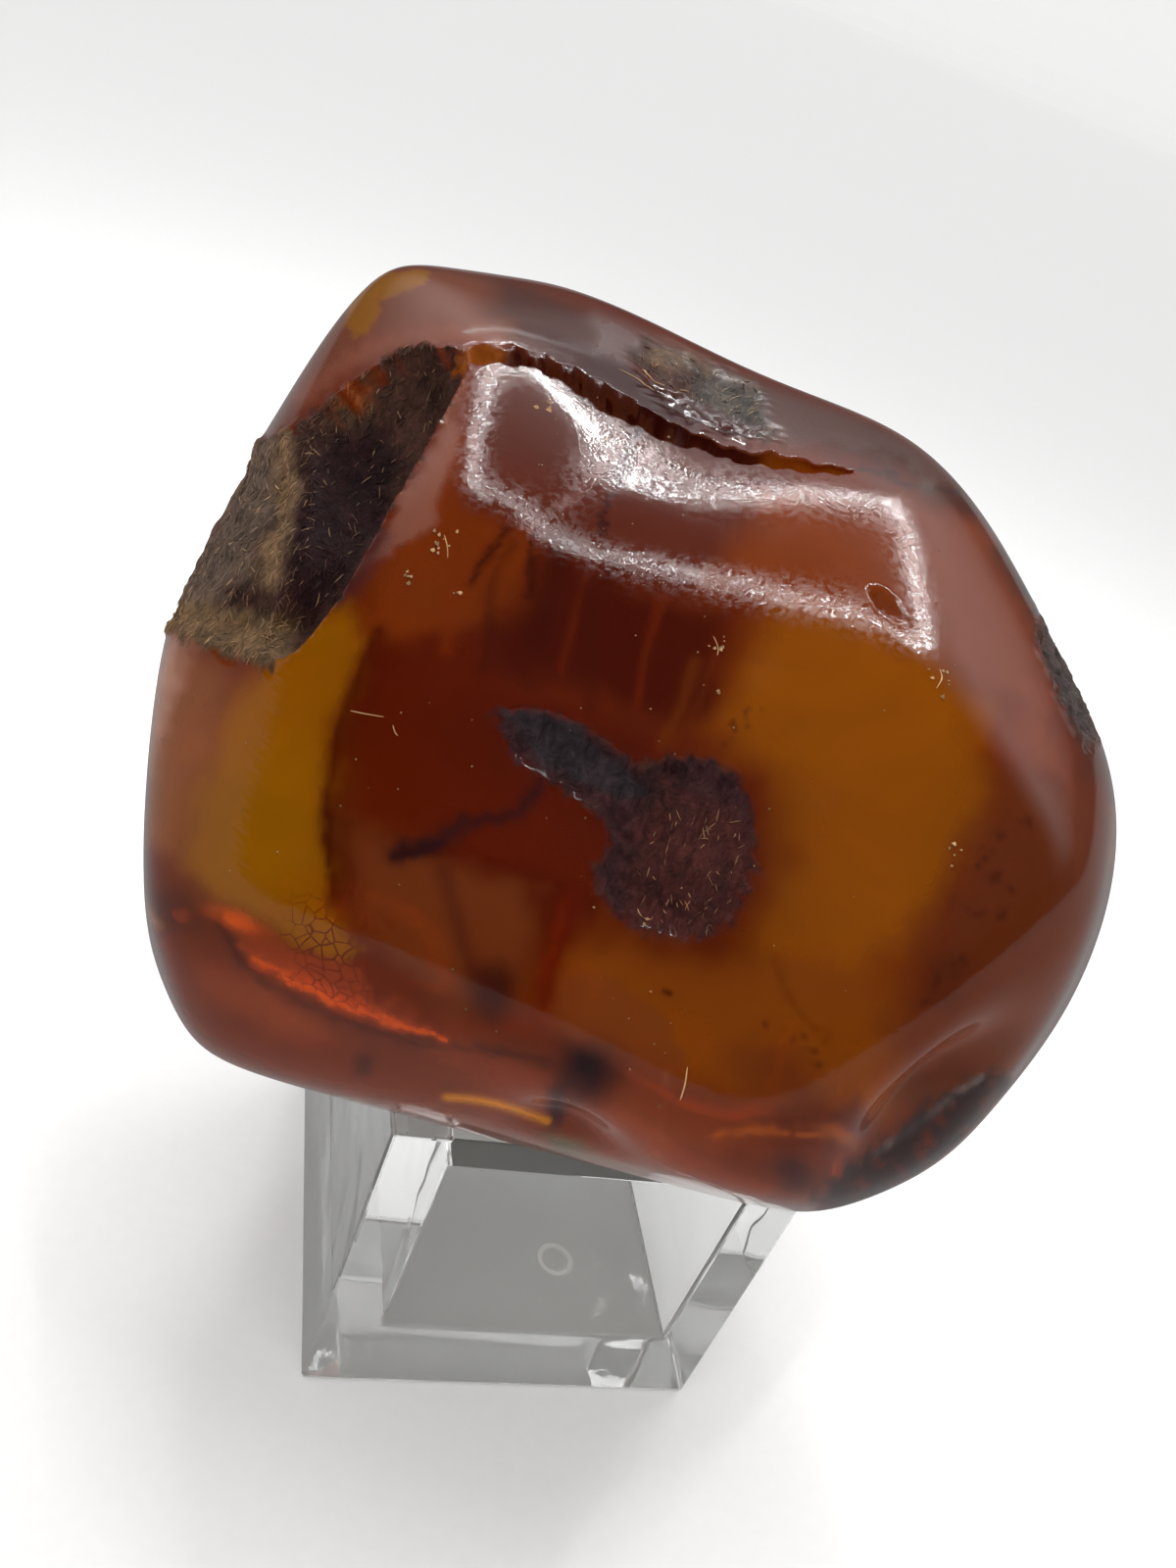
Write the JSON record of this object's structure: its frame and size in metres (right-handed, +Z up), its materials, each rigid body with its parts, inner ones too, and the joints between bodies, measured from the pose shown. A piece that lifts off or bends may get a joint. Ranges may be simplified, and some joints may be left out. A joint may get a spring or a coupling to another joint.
{
  "type": "amber nugget on a clear stand",
  "caption": "Large polished amber nugget with a crusted hollow, an open crack and rounded ground facets, resting on a short clear square-tube display stand.",
  "frame": {"origin": "middle of the stand's footprint, on the surface it stands on", "axes": "+Z up; the stand's open front faces -Y; the nugget's show side faces the front, a little to the left and up"},
  "size_m": [0.0673, 0.058, 0.0755],
  "materials": {
    "amber": "hand-polished fossil resin, red-brown to honey, with matte dark crust in its hollows",
    "clear_acrylic": "clear moulded acrylic, glossy"
  },
  "bodies": {
    "root": {"nugget": "amber", "stand": "clear_acrylic"}
  },
  "joints": []
}
